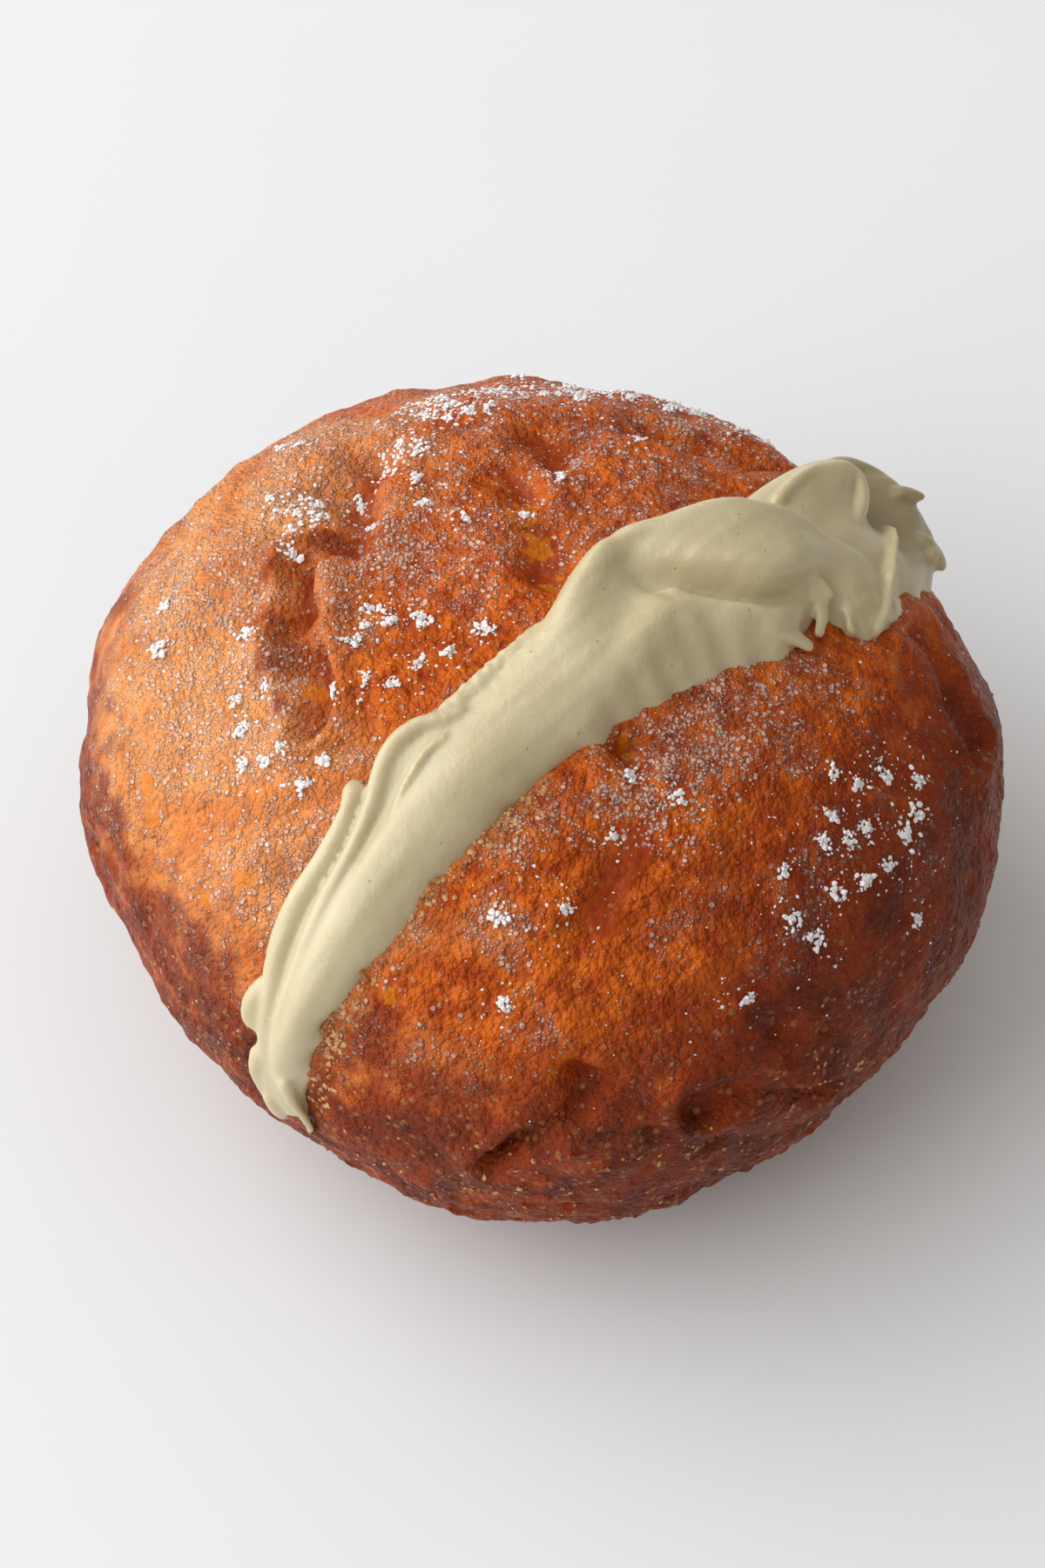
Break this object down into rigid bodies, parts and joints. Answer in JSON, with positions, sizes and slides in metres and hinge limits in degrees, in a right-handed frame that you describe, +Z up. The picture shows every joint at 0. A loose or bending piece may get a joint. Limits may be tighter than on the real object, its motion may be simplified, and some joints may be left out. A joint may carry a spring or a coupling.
{
  "type": "filled doughnut",
  "caption": "Round fried doughnut cut along its top, with a ribbon of cream in the cut and lumps of sugar on its crust.",
  "frame": {"origin": "centre of the box's underside, on the surface that the doughnut rests on", "axes": "+Z up out of the top; +X along the doughnut's widest way, to the right as it is seen with the cream running from low on the left to high on the right; +Y away from that view"},
  "size_m": [0.098, 0.0973, 0.0656],
  "materials": {
    "crust": "browned fried dough with sugar, half matt",
    "cream": "soft satin cream"
  },
  "bodies": {
    "root": {"doughnut": "crust", "cream": "cream"}
  },
  "joints": []
}
